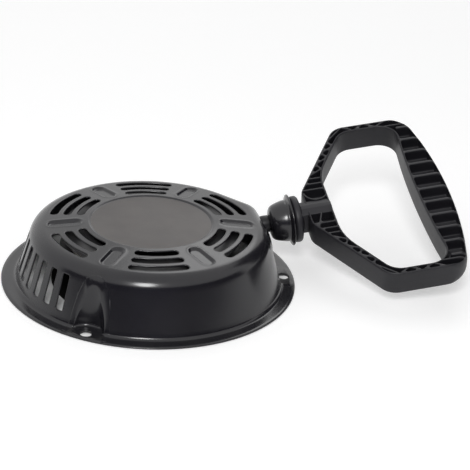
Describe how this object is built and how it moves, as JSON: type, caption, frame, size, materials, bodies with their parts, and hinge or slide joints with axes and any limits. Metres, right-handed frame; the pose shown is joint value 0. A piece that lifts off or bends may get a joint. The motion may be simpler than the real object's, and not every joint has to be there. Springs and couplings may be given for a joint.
{
  "type": "recoil starter",
  "caption": "Pull starter of a small engine: vented steel housing with bolt flange, rope reel with driving pawls, rubber stopper bell and large ribbed D-handle",
  "frame": {"origin": "on the crank axis in the mounting plane of the flange, at the face of the centre screw", "axes": "+Z along the crank axis away from the engine, +X to the bolt hole beside the rope outlet"},
  "size_m": [0.2989, 0.1989, 0.0728],
  "materials": {
    "black_paint": "semi-gloss black enamel",
    "black_plastic": "moulded, matt",
    "rubber": "smooth",
    "reel_plastic": "glass-filled nylon",
    "steel": "turned",
    "spring_steel": "blued",
    "zinc": "zinc-plated",
    "rope": "braided polyester"
  },
  "bodies": {
    "housing": {"housing": "black_paint", "centre_post": "steel", "thrust_washer": "zinc", "centre_screw": "zinc", "friction_spring": "spring_steel", "rope_guide": "black_plastic"},
    "reel": {"reel": "reel_plastic", "recoil_spring": "spring_steel", "rope_turns": "rope", "reel_knot": "rope", "pawl_pin_1": "steel", "pawl_pin_2": "steel", "pawl_spring_1": "spring_steel", "pawl_spring_2": "spring_steel"},
    "pawl_1": {"pawl_1": "zinc"},
    "pawl_2": {"pawl_2": "zinc"},
    "guide_plate": {"guide_plate": "zinc"},
    "handle": {"handle": "black_plastic", "bell": "rubber", "rope_lead": "rope", "rope_knot": "rope", "knot_washer": "zinc"}
  },
  "joints": [
    {"name": "handle_pull", "type": "slide", "parent": "housing", "child": "handle", "axis": [0.9867, 0.0777, 0.1426], "range_m": [0, 0.9], "deforming": ["rope_lead"]},
    {"name": "reel_spin", "type": "hinge", "parent": "housing", "child": "reel", "pos_m": [0, 0, 0.028], "axis": [0, 0, -1], "range_deg": [0, 1081], "stiffness_Nm_per_rad": 0.02, "springref_deg": -572.96, "deforming": ["recoil_spring", "rope_turns"]},
    {"name": "guide_plate_turn", "type": "hinge", "parent": "reel", "child": "guide_plate", "pos_m": [0, 0, 0.0098], "axis": [0, 0, 1], "range_deg": [0, 35], "stiffness_Nm_per_rad": 0.002, "springref_deg": -11.46},
    {"name": "pawl_1_swing", "type": "hinge", "parent": "reel", "child": "pawl_1", "pos_m": [0.022, 0, 0.0132], "axis": [0, 0, 1], "range_deg": [0, 25], "deforming": ["pawl_spring_1"]},
    {"name": "pawl_2_swing", "type": "hinge", "parent": "reel", "child": "pawl_2", "pos_m": [-0.022, 0, 0.0132], "axis": [0, 0, 1], "range_deg": [0, 25], "deforming": ["pawl_spring_2"]}
  ],
  "couplings": [
    {"joint": "reel_spin", "follows": "handle_pull", "rad_per_m": 20.94},
    {"joint": "pawl_1_swing", "follows": "guide_plate_turn", "ratio": 0.71428},
    {"joint": "pawl_2_swing", "follows": "guide_plate_turn", "ratio": 0.71428}
  ]
}
